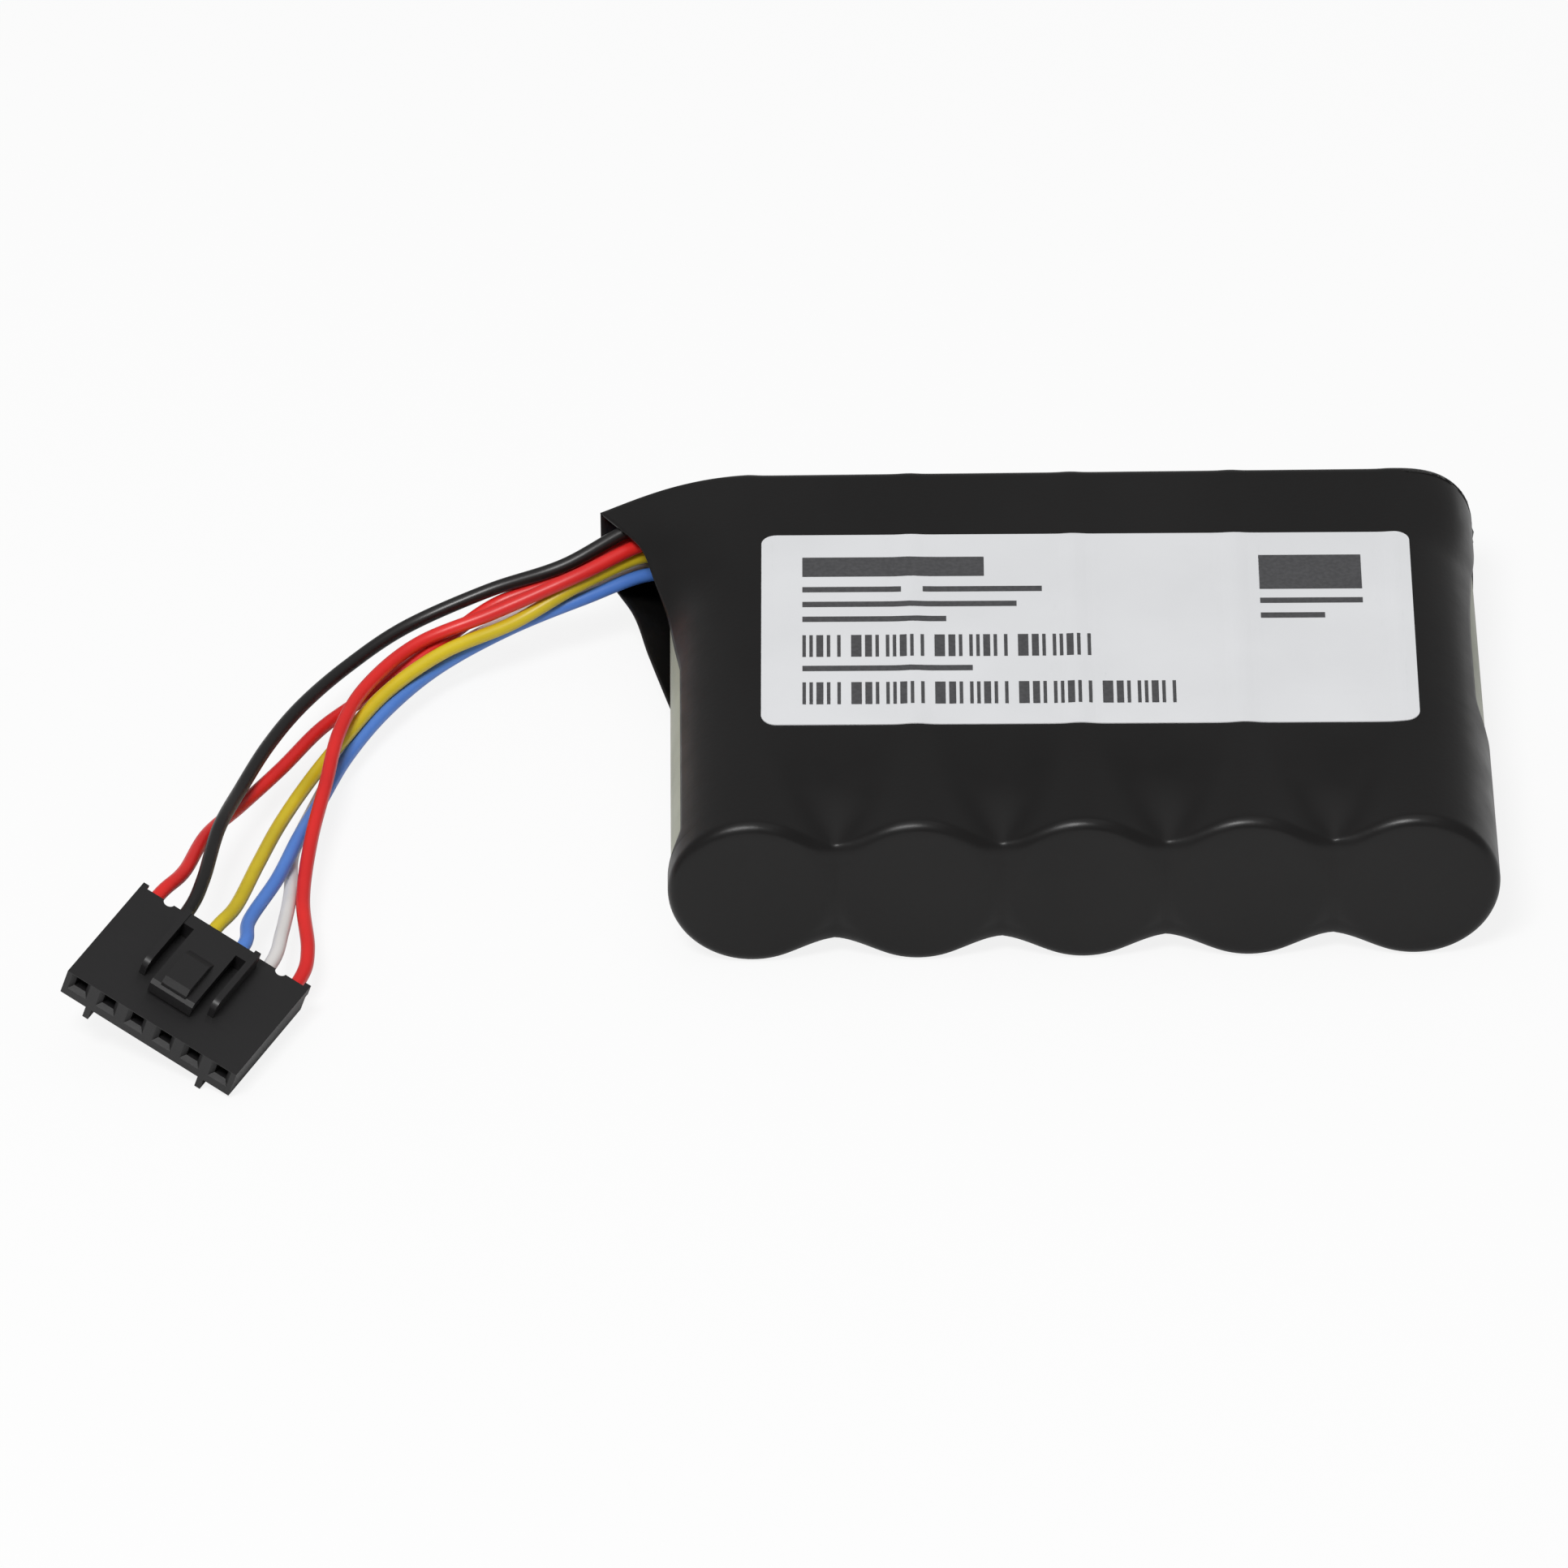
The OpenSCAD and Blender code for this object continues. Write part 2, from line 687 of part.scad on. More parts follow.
module thumb_outline() {
    polygon([
        [thumb_y[0], -0.1], [thumb_y[0], thumb_h / 3], [thumb_y[0] + thumb_front, thumb_h],
        [thumb_y[1] - thumb_rear, thumb_h], [thumb_y[1], 0], [thumb_y[1], -0.1]
    ]);
}

// A box receptacle for the pin, a flat neck and a barrel crimped round the wire
module contact(i) {
    w = box_w;
    neck = [w / 2, barrel_y[0] - box_y[1] + 0.4, contact_t];
    barrel_r = wire_d / 2 + barrel_fit;
    color([0.8, 0.75, 0.6]) in_plug() translate([plug_x(i), 0, contact_z]) {
        difference() {
            translate([-w / 2, box_y[0], -w / 2]) cube([w, box_y[1] - box_y[0], w]);
            translate([-w / 2 + contact_t, box_y[0] - 1, -w / 2 + contact_t])
                cube([w - 2 * contact_t, box_y[1] - box_y[0] + 2, w - 2 * contact_t]);
        }
        translate([-neck.x / 2, box_y[1] - 0.2, -w / 2]) cube(neck);
        rotate([-90, 0, 0]) translate([0, 0, barrel_y[0]]) difference() {
            cylinder(r = barrel_r + barrel_wall, h = barrel_y[1] - barrel_y[0]);
            translate([0, 0, -1]) cylinder(r = barrel_r, h = barrel_y[1] - barrel_y[0] + 2);
        }
    }
}

// ---- wires ----

function unit(v) = v / norm(v);
function heading(p, k) = unit(p[min(k + 1, len(p) - 1)] - p[max(k - 1, 0)]);
function ring(c, t, r) =
    let (u = unit(cross([0, 0, 1], t)), v = cross(t, u))
    [for (k = [0 : wire_sides - 1])
        c + r * (cos(360 * k / wire_sides) * u + sin(360 * k / wire_sides) * v)];
function route(i, pad_z, way) = concat(
    [[wire_pad_x, wire_pad_y, pad_z], [wire_pad_x - wire_straight, wire_pad_y, pad_z]],
    way,
    [from_plug([plug_x(i), plug_len + wire_out, contact_z]),
     from_plug([plug_x(i), wire_end_y, contact_z])]
);

module wire(p) {
    n = wire_sides;
    points = [for (k = [0 : len(p) - 1]) each ring(p[k], heading(p, k), wire_d / 2)];
    last = n * (len(p) - 1);
    sides = [for (k = [0 : len(p) - 2], s = [0 : n - 1]) each
        let (a = k * n + s, b = k * n + (s + 1) % n) [[a, a + n, b + n], [a, b + n, b]]];
    caps = [[for (s = [0 : n - 1]) s], [for (s = [0 : n - 1]) last + n - 1 - s]];
    polyhedron(points = points, faces = concat(sides, caps));
}

module wire_red_1() { color([0.85, 0.13, 0.13]) wire(route(1, red_1_pad_z, red_1_way)); }
module wire_black() { color([0.13, 0.12, 0.12]) wire(route(2, black_pad_z, black_way)); }
module wire_yellow() { color([0.8, 0.7, 0.13]) wire(route(3, yellow_pad_z, yellow_way)); }
module wire_blue() { color([0.35, 0.5, 0.8]) wire(route(4, blue_pad_z, blue_way)); }
module wire_white() { color([0.85, 0.84, 0.84]) wire(route(5, white_pad_z, white_way)); }
module wire_red_2() { color([0.85, 0.13, 0.13]) wire(route(6, red_2_pad_z, red_2_way)); }

// ---- all pieces ----

film_wrap();
label();
cell_insulator();
rear_pad();
circuit_board();
lead_joints();
wire_joints();
balance_resistors();
balance_chips();
memory_chip();
for (i = [1 : cell_count]) {
    cell_can(i);
    cell_sleeve(i);
    cell_winding(i);
    cell_seal(i);
    cell_leads(i);
}
wire_red_1();
wire_black();
wire_yellow();
wire_blue();
wire_white();
wire_red_2();
connector_housing();
for (i = [1 : wire_count])
    contact(i);
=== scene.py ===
"""Looks of a capacitor backup pack: five cells in black shrink film, a label, six wires and a plug.

Sizes are millimetres in the part's own frame until a mesh is made, and the frame gives the places.
"""
import json
import math

import bmesh
import bpy
import numpy as np
from mathutils import Matrix, Vector


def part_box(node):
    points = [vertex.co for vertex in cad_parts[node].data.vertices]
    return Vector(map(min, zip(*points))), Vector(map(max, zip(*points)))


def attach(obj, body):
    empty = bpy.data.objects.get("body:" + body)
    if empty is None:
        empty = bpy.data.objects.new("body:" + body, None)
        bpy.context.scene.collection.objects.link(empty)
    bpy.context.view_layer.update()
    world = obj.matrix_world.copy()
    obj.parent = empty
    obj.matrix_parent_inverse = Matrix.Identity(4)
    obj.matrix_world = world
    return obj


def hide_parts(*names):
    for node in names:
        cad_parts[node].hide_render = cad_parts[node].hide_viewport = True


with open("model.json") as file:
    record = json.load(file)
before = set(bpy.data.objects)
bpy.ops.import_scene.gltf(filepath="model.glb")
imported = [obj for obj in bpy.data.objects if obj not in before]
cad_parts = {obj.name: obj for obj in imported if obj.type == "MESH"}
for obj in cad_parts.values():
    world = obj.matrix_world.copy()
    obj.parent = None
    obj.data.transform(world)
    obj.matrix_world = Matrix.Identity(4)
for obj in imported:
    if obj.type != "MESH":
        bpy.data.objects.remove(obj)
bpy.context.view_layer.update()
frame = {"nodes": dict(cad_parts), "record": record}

MM = 0.001
scene = bpy.context.scene


# ---- places from the frame ----

def box_mm(node):
    lo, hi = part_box(node)
    return np.array(lo) / MM, np.array(hi) / MM


film_lo, film_hi = box_mm("film_wrap")
sleeve_lo, sleeve_hi = box_mm("cell_sleeve_1")
last_lo, last_hi = box_mm("cell_sleeve_5")

CELLS = 5
ROW_X = (last_lo[0] + last_hi[0]) / 2
PITCH = 2 * ROW_X / (CELLS - 1)
AXIS_Z = (sleeve_lo[2] + sleeve_hi[2]) / 2
WRAP_R = film_hi[0] - ROW_X
FRONT_Y = film_lo[1]
REAR_Y = film_hi[1]


# ---- camera, lights, floor ----

IMAGE_W = 1932
FOCAL_PX = 17075.4      # focal length in pixels of an image of that width
SENSOR = 36
CAMERA_TARGET = (-22.847, -0.463, 0.0)
CAMERA_DISTANCE = 1083.5
CAMERA_ELEVATION = 35.94
CAMERA_AZIMUTH = -0.165
CAMERA_ROLL = -0.536
ROOM_LIGHT = 0.3
FLOOR_GLOW = 0.86       # the rest of what the camera sees of the floor is lit paper with shadows
FLOOR_SIZE = 6


def make_camera():
    e, a, r = (math.radians(v) for v in (CAMERA_ELEVATION, CAMERA_AZIMUTH, CAMERA_ROLL))
    back = Vector((math.sin(a) * math.cos(e), -math.cos(a) * math.cos(e), math.sin(e)))
    right = (-back).cross(Vector((0, 0, 1))).normalized()
    up = right.cross(-back)
    right, up = right * math.cos(r) + up * math.sin(r), up * math.cos(r) - right * math.sin(r)
    data = bpy.data.cameras.new("camera")
    data.sensor_width = SENSOR
    data.lens = FOCAL_PX * SENSOR / IMAGE_W
    data.clip_start = 0.01
    data.clip_end = 20
    camera = bpy.data.objects.new("camera", data)
    place = (Vector(CAMERA_TARGET) + back * CAMERA_DISTANCE) * MM
    turn = Matrix((right, up, back)).transposed().to_4x4()
    camera.matrix_world = Matrix.Translation(place) @ turn
    scene.collection.objects.link(camera)
    scene.camera = camera
    scene.view_settings.view_transform = "Standard"


def area_light(name, place, size, power):
    """A rectangular lamp in metres and watts, aimed at the middle of the pack's underside."""
    data = bpy.data.lights.new(name, "AREA")
    data.shape = "RECTANGLE"
    data.size, data.size_y = size
    data.energy = power
    lamp = bpy.data.objects.new(name, data)
    lamp.location = place
    lamp.rotation_euler = Vector(place).to_track_quat("Z", "Y").to_euler()
    scene.collection.objects.link(lamp)


def make_lights():
    area_light("softbox_key", (-0.22, -0.5, 0.85), (0.3, 0.24), 7.5)
    area_light("softbox_top", (0, 0.1, 1.3), (1.4, 1.0), 2.0)
    world = bpy.data.worlds.new("studio")
    world.use_nodes = True
    nodes, links = world.node_tree.nodes, world.node_tree.links
    nodes.clear()
    out = nodes.new("ShaderNodeOutputWorld")
    mix = nodes.new("ShaderNodeMixShader")
    room = nodes.new("ShaderNodeBackground")
    room.inputs["Color"].default_value = (1, 1, 1, 1)
    room.inputs["Strength"].default_value = ROOM_LIGHT
    white = nodes.new("ShaderNodeBackground")
    white.inputs["Color"].default_value = (1, 1, 1, 1)
    white.inputs["Strength"].default_value = 1.0
    path = nodes.new("ShaderNodeLightPath")
    links.new(path.outputs["Is Camera Ray"], mix.inputs["Fac"])
    links.new(room.outputs["Background"], mix.inputs[1])
    links.new(white.outputs["Background"], mix.inputs[2])
    links.new(mix.outputs["Shader"], out.inputs["Surface"])
    scene.world = world


def make_floor():
    bpy.ops.mesh.primitive_plane_add(size=FLOOR_SIZE, location=(0, 0, 0))
    floor = bpy.context.object
    floor.name = "floor"
    material = bpy.data.materials.new("floor_white")
    material.use_nodes = True
    nodes, links = material.node_tree.nodes, material.node_tree.links
    nodes.clear()
    out = nodes.new("ShaderNodeOutputMaterial")
    paper = nodes.new("ShaderNodeBsdfDiffuse")
    paper.inputs["Color"].default_value = (0.8, 0.8, 0.8, 1)
    glow = nodes.new("ShaderNodeEmission")
    glow.inputs["Color"].default_value = (1, 1, 1, 1)
    glow.inputs["Strength"].default_value = 1.0
    mix = nodes.new("ShaderNodeMixShader")
    share = nodes.new("ShaderNodeMath")
    share.operation = "MULTIPLY"
    share.inputs[1].default_value = FLOOR_GLOW
    path = nodes.new("ShaderNodeLightPath")
    links.new(path.outputs["Is Camera Ray"], share.inputs[0])
    links.new(share.outputs["Value"], mix.inputs["Fac"])
    links.new(paper.outputs["BSDF"], mix.inputs[1])
    links.new(glow.outputs["Emission"], mix.inputs[2])
    links.new(mix.outputs["Shader"], out.inputs["Surface"])
    floor.data.materials.append(material)


# ---- materials ----

def srgb(*values):
    """Linear colour from 8-bit display values."""
    out = []
    for v in values:
        v /= 255
        out.append(v / 12.92 if v <= 0.04045 else ((v + 0.055) / 1.055) ** 2.4)
    return (*out, 1.0)


def principled(name, color, roughness, **sockets):
    material = bpy.data.materials.new(name)
    material.use_nodes = True
    shader = material.node_tree.nodes["Principled BSDF"]
    shader.inputs["Base Color"].default_value = color
    shader.inputs["Roughness"].default_value = roughness
    for key, value in sockets.items():
        shader.inputs[key.replace("_", " ")].default_value = value
    return material


def noise(material, scale, detail=3.0, stretch=(1, 1, 1)):
    """A noise texture in object space, in metres, stretched along the axes."""
    nodes, links = material.node_tree.nodes, material.node_tree.links
    place = nodes.new("ShaderNodeTexCoord")
    mapping = nodes.new("ShaderNodeMapping")
    mapping.inputs["Scale"].default_value = stretch
    texture = nodes.new("ShaderNodeTexNoise")
    texture.inputs["Scale"].default_value = scale
    texture.inputs["Detail"].default_value = detail
    links.new(place.outputs["Object"], mapping.inputs["Vector"])
    links.new(mapping.outputs["Vector"], texture.inputs["Vector"])
    return texture


def add_bump(material, texture, strength, distance):
    nodes, links = material.node_tree.nodes, material.node_tree.links
    bump = nodes.new("ShaderNodeBump")
    bump.inputs["Strength"].default_value = strength
    bump.inputs["Distance"].default_value = distance
    links.new(texture.outputs["Fac"], bump.inputs["Height"])
    shader = nodes["Principled BSDF"]
    below = shader.inputs["Normal"].links
    if below:
        links.new(below[0].from_socket, bump.inputs["Normal"])
    links.new(bump.outputs["Normal"], shader.inputs["Normal"])


def vary(material, socket, texture, low, high):
    """Drives a socket between two values or colours with a texture."""
    nodes, links = material.node_tree.nodes, material.node_tree.links
    shader = nodes["Principled BSDF"]
    if hasattr(low, "__len__"):
        ramp = nodes.new("ShaderNodeValToRGB")
        ramp.color_ramp.elements[0].position = 0.35
        ramp.color_ramp.elements[0].color = low
        ramp.color_ramp.elements[1].position = 0.65
        ramp.color_ramp.elements[1].color = high
        links.new(texture.outputs["Fac"], ramp.inputs["Fac"])
        links.new(ramp.outputs["Color"], shader.inputs[socket])
        return
    remap = nodes.new("ShaderNodeMapRange")
    remap.inputs["From Min"].default_value = 0.3
    remap.inputs["From Max"].default_value = 0.7
    remap.inputs["To Min"].default_value = low
    remap.inputs["To Max"].default_value = high
    links.new(texture.outputs["Fac"], remap.inputs["Value"])
    links.new(remap.outputs["Result"], shader.inputs[socket])


def plastic(name, color, other, roughness, grain=2500, grain_depth=0.00002):
    """Moulded or extruded plastic: a slight drift of colour and gloss, and a fine grain."""
    material = principled(name, color, roughness)
    broad = noise(material, 120)
    vary(material, "Base Color", broad, color, other)
    vary(material, "Roughness", broad, roughness - 0.05, roughness + 0.06)
    add_bump(material, noise(material, grain, 2), 0.3, grain_depth)
    return material


def film_material():
    material = principled("film_black", srgb(20, 20, 20), 0.34, Specular_IOR_Level=0.28)
    broad = noise(material, 60, 4, (1, 0.5, 1))
    vary(material, "Base Color", broad, srgb(17, 16, 16), srgb(22, 21, 21))
    vary(material, "Roughness", noise(material, 350, 4), 0.3, 0.4)
    add_bump(material, noise(material, 110, 4, (1, 0.35, 1)), 0.2, 0.0002)
    add_bump(material, noise(material, 2600, 2), 0.25, 0.00002)
    return material


# ---- meshes ----

def mesh_object(name, points, faces, material, smooth=True):
    """A mesh piece from points in millimetres, riding on the part's one body."""
    mesh = bpy.data.meshes.new(name)
    mesh.from_pydata((np.asarray(points) * MM).tolist(), [], faces)
    mesh.validate()
    mesh.materials.append(material)
    if smooth:
        mesh.shade_smooth()
    piece = bpy.data.objects.new(name, mesh)
    scene.collection.objects.link(piece)
    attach(piece, "root")
    return piece


def weld(piece, distance):
    made = bmesh.new()
    made.from_mesh(piece.data)
    bmesh.ops.remove_doubles(made, verts=made.verts, dist=distance * MM)
    bmesh.ops.dissolve_degenerate(made, edges=made.edges, dist=distance * MM)
    bmesh.ops.recalc_face_normals(made, faces=made.faces)
    made.to_mesh(piece.data)
    made.free()


def ease(t):
    t = np.clip(t, 0, 1)
    return t * t * (3 - 2 * t)


def through(points, at):
    """Smooth curve through (position, value...) rows, read at any position."""
    rows = np.asarray(points, float)
    x, values = rows[:, 0], rows[:, 1:]
    slope = np.gradient(values, x, axis=0)
    at = np.clip(np.asarray(at, float), x[0], x[-1])
    k = np.clip(np.searchsorted(x, at) - 1, 0, len(x) - 2)
    h = (x[k + 1] - x[k])[..., None]
    t = (at - x[k])[..., None] / h
    a = values[k] * (2 * t ** 3 - 3 * t ** 2 + 1) + values[k + 1] * (3 * t ** 2 - 2 * t ** 3)
    b = slope[k] * h * (t ** 3 - 2 * t ** 2 + t) + slope[k + 1] * h * (t ** 3 - t ** 2)
    return a + b


# ---- film ----
# The film is two sheets, one above and one below the cells, welded to each other all round except
# where the film is open: at the slot on the right, and at the slot and wire mouth on the left.

RIM_R = 0.9             # fold over a cell's front rim
VALLEY_RIM_R = 1.5      # fold between two cells, where the film is free
VALLEY_DEPTH_TOP = 2.7
VALLEY_DEPTH_BOTTOM = 2.1
VALLEY_RUN = 4.6        # the dips between the cells fade over a few of these lengths
VALLEY_FADE = 1.35      # a higher power keeps a dip deep for longer and ends it sooner
VALLEY_BLEND = 2.2      # a higher power gives a dip sharper edges
SAG = 0.07              # dip between the cells on the flat top
FACE_DIP = 0.5          # dip between the cells on the front face
FACE_FLAT_R = 5.5       # the front face is flat this far from a cell's axis, then dips
FACE_DIP_RUN = 1.9
REAR_R_TOP = 1.1        # rear fold above the cells
REAR_R_SIDE = 1.6       # rear fold at the two sides
MOST_FOLD = 0.6         # the largest share of the rear face that its fold takes
SQUARE_REAR = 0.8       # the film is drawn over the board's corners at the rear
SQUARE_FROM = 13.0
SQUARE_RUN = 9.0
SLOT_HALF = 3.5
LEFT_SLOT_NOSE = 1.6
LEFT_SLOT_FRONT = FRONT_Y + 2.5
RIGHT_SLOT_FRONT = FRONT_Y + 17
RIGHT_SLOT_STRAIGHT = 6.5
SLOT_REAR = REAR_Y - 1.5
FILM_T = 0.2
WELD = 0.012

# Mesh of a sheet
QUARTER = 26            # columns round a quarter of an end cell
ACROSS = 130            # columns between the two end cells
RIM_ROWS = 7
FACE_ROWS = 14
REAR_ROWS = 9
FINE_ROW = 0.3          # distances between rows at the front, in the middle and at the rear fold
MIDDLE_ROW = 0.55
REAR_ROW = 0.25
LEAST_ROW = 0.03
FINE_RUN = 9.0
REAR_RUN = 3.0
NOSE_ROWS = (0, 0.04, 0.12, 0.25)   # rows past the front end of an opening

# Wire mouth. The film leaves the end cell's round form between MOUTH_FROM and MOUTH_FROM + MOUTH_RUN.
TIP_Y = 21.7
TIP_MID_Z = 8.0
TIP_FROM = 18.0
MOUTH_FROM = 2.0
MOUTH_RUN = 14.0
MOUTH_TOP_HANDLE = 5.5
MOUTH_LIP_HANDLES = {1: (2.5, 0.5), -1: (2.5, -1.2)}    # of the upper and the lower sheet

# Free edges of the wire mouth as (Y, X, Z), from where the film leaves the end cell to its tip
UPPER_LIP = [
    (0.5, -30.82, 10.1), (4.6, -31.3, 9.45), (9.3, -31.95, 9.6), (12.6, -32.9, 10.5),
    (16.2, -33.95, 11.1), (19.3, -35.7, 10.9), (TIP_Y, -37.1, 10.6),
]
LOWER_LIP = [
    (0.5, -30.82, 2.94), (4.0, -31.3, 2.9), (6.8, -32.0, 3.0), (11.4, -33.4, 4.0),
    (16.2, -34.7, 4.8), (18.9, -36.0, 5.1), (TIP_Y, -37.1, 5.4),
]


def slot_half_height(y, side):
    """Half the height of an end opening at y, on the left (-1) or the right (1)."""
    front = LEFT_SLOT_FRONT if side < 0 else RIGHT_SLOT_FRONT
    nose = LEFT_SLOT_NOSE if side < 0 else SLOT_HALF
    t = np.clip((y - front) / nose, 0, 1)
    half = SLOT_HALF * np.sqrt(1 - (1 - t) ** 2)
    if side > 0:
        start = front + SLOT_HALF + RIGHT_SLOT_STRAIGHT
        run = SLOT_REAR - start
        radius = (run ** 2 + SLOT_HALF ** 2) / (2 * SLOT_HALF)
        past = np.clip(y - start, 0, run)
        half = half - (radius - np.sqrt(radius ** 2 - past ** 2))
    return np.where((y <= front) | (y >= SLOT_REAR), 0, np.maximum(half, 0))


def valley(x, y, sign=1):
    """How far the film dips at x, y towards the row's middle, above (1) or below (-1) the cells."""
    off = PITCH / 2 - np.abs((x + ROW_X) % PITCH - PITCH / 2)
    circle = WRAP_R - np.sqrt(np.maximum(WRAP_R ** 2 - off ** 2, 0.01))
    front_depth = VALLEY_DEPTH_TOP if sign > 0 else VALLEY_DEPTH_BOTTOM
    depth = front_depth * np.exp(-((y - FRONT_Y) / VALLEY_RUN) ** VALLEY_FADE) + SAG
    power = VALLEY_BLEND
    dip = (np.maximum(circle, 1e-6) ** -power + depth ** -power) ** (-1 / power)
    return np.where(np.abs(x) < ROW_X, dip, 0)


def row_positions():
    """Places along Y of the rows of the sheets between the front and rear folds."""
    start = FRONT_Y + RIM_R
    end = REAR_Y - REAR_R_TOP
    middle = FRONT_Y + FINE_RUN
    rows = list(np.arange(start, middle, FINE_ROW))
    rows += list(np.arange(middle, end, MIDDLE_ROW)) + [end]
    rows += list(np.arange(end - REAR_RUN, end, REAR_ROW))
    for nose in (LEFT_SLOT_FRONT, RIGHT_SLOT_FRONT):
        rows += [nose + d for d in NOSE_ROWS]
    rows = np.sort(np.array(rows))
    keep = [rows[0]]
    for r in rows[1:]:
        if r - keep[-1] > LEAST_ROW:
            keep.append(r)
    return np.array(keep)


def bezier(a, b, c, d, t):
    t = t[:, None]
    return a * (1 - t) ** 3 + 3 * b * t * (1 - t) ** 2 + 3 * c * t ** 2 * (1 - t) + d * t ** 3


def end_arc(side, sign, y):
    """Points (X, Z) from the top of an end cell's film down to the opening or the seam."""
    angle = math.asin(min(float(slot_half_height(np.array(y), side)) / WRAP_R, 1))
    theta = np.linspace(math.pi / 2, angle, QUARTER + 1)
    square = 2 + (SQUARE_REAR * float(ease((y - SQUARE_FROM) / SQUARE_RUN)) if side > 0 else 0)
    radius = WRAP_R / (np.cos(theta) ** square + np.sin(theta) ** square) ** (1 / square)
    return np.stack([side * (ROW_X + radius * np.cos(theta)), sign * radius * np.sin(theta)], 1)


def mouth_arc(sign, y):
    """The same on the left, where the film leaves the cell and is drawn out to the mouth's lip."""
    lip = through(UPPER_LIP if sign > 0 else LOWER_LIP, y - tip_setback(y))
    lip = np.array([lip[0], lip[1] - AXIS_Z])
    free = ease((y - MOUTH_FROM) / MOUTH_RUN)
    top = np.array([-ROW_X, sign * WRAP_R])
    start = math.atan2(abs(lip[1]), -(lip[0] + ROW_X))
    handle = 4 / 3 * math.tan((math.pi / 2 - start) / 4) * WRAP_R
    near = np.array([-handle, 0]) * (1 - free) + np.array([-MOUTH_TOP_HANDLE, 0]) * free
    round_end = handle * np.array([math.sin(start), sign * math.cos(start)])
    drawn_end = np.array(MOUTH_LIP_HANDLES[sign])
    far = round_end * (1 - free) + drawn_end * free
    return bezier(top, top + near, lip + far, lip, np.linspace(0, 1, QUARTER + 1))


def tip_setback(y):
    """How far the beak's tip lags behind the rear edge of the rest of the film."""
    last = REAR_Y - REAR_R_TOP
    return (last - TIP_Y) * float(ease((y - TIP_FROM) / (last - TIP_FROM)))


def left_pull():
    """1 at the left edge of a sheet, falling to 0 where the end cell's crest begins."""
    k = np.arange(2 * QUARTER + ACROSS + 1)
    return np.clip(1 - k / QUARTER, 0, 1)


def section(sign, y):
    """One sheet's outline (X, Z from the axis) at y, from the left edge to the right edge."""
    left = mouth_arc(sign, y) if y > UPPER_LIP[0][0] else end_arc(-1, sign, y)
    right = end_arc(1, sign, y)
    x = np.linspace(-ROW_X, ROW_X, ACROSS + 1)
    z = sign * (WRAP_R - valley(x, y, sign))
    flat = np.stack([x, z], 1)
    return np.concatenate([left[::-1], flat[1:-1], right])


def axis_distance(x, z):
    """Distance from the nearest cell's axis."""
    off = np.clip(np.round((x + ROW_X) / PITCH), 0, CELLS - 1) * PITCH - ROW_X
    return np.hypot(x - off, z)


def face_dip(x, z):
    dip = FACE_DIP * ease((axis_distance(x, z) - FACE_FLAT_R) / FACE_DIP_RUN)
    return dip * (np.abs(x) < ROW_X + 1)


def front_rows(sign):
    """Rows from the middle of the front face out to its rim and over the fold."""
    edge = section(sign, FRONT_Y + RIM_R)
    x, z = edge[:, 0], edge[:, 1]
    middle = np.clip(x, -ROW_X, ROW_X)
    dip = valley(x, np.full_like(x, FRONT_Y + RIM_R), sign)
    fold = RIM_R + (VALLEY_RIM_R - RIM_R) * ease(dip / 2)
    reach = np.hypot(x - middle, z)
    nx, nz = (x - middle) / reach, z / reach
    rows = []
    for share in np.linspace(0, 1, FACE_ROWS, endpoint=False):
        r = share * (reach - fold)
        px, pz = middle + nx * r, nz * r
        rows.append(np.stack([px, FRONT_Y + face_dip(px, pz), pz], 1))
    for a in np.linspace(0, math.pi / 2, RIM_ROWS, endpoint=False):
        r = reach - fold * (1 - math.sin(a))
        px, pz = middle + nx * r, nz * r
        start = FRONT_Y + face_dip(middle + nx * (reach - fold), nz * (reach - fold))
        y = start + (FRONT_Y + RIM_R - start) * (1 - math.cos(a))
        rows.append(np.stack([px, y, pz], 1))
    return rows


def rear_rows(sign):
    """Rows from the rear fold to the middle of the rear face."""
    count = 2 * QUARTER + ACROSS + 1
    k = np.arange(count)
    edge = section(sign, REAR_Y - REAR_R_TOP)
    x, z = edge[:, 0], edge[:, 1]
    left = k < QUARTER
    pull = left_pull()
    target_x = np.where(left, -ROW_X + (x[0] + ROW_X) * pull, np.clip(x, -ROW_X, ROW_X))
    target_z = np.where(left, (TIP_MID_Z - AXIS_Z) * pull, 0)
    target_y = REAR_Y - (REAR_Y - TIP_Y) * pull
    theta = np.arctan2(np.abs(z), np.maximum(x - ROW_X, 0))
    side_fold = REAR_R_SIDE + (REAR_R_TOP - REAR_R_SIDE) * np.sin(theta) ** 2
    fold = np.where(k > count - QUARTER - 1, side_fold, REAR_R_TOP)
    reach = np.hypot(x - target_x, z - target_z)
    share = np.clip(fold / np.maximum(reach, 0.01), 0, MOST_FOLD)
    start_y = REAR_Y - REAR_R_TOP
    rows = []
    for s in 1 - np.cos(np.linspace(0, math.pi / 2, REAR_ROWS)):
        at = share * s
        rise = np.sqrt(np.maximum(1 - (1 - s) ** 2, 0))
        y0 = np.where(left, start_y - (start_y - TIP_Y) * pull ** 2, REAR_Y - fold)
        y = y0 + (target_y - y0) * rise
        rows.append(np.stack([x + (target_x - x) * at, y, z + (target_z - z) * at], 1))
    for s in np.linspace(0, 1, REAR_ROWS)[1:]:
        at = share + (1 - share) * s
        rows.append(np.stack([x + (target_x - x) * at, target_y, z + (target_z - z) * at], 1))
    return rows


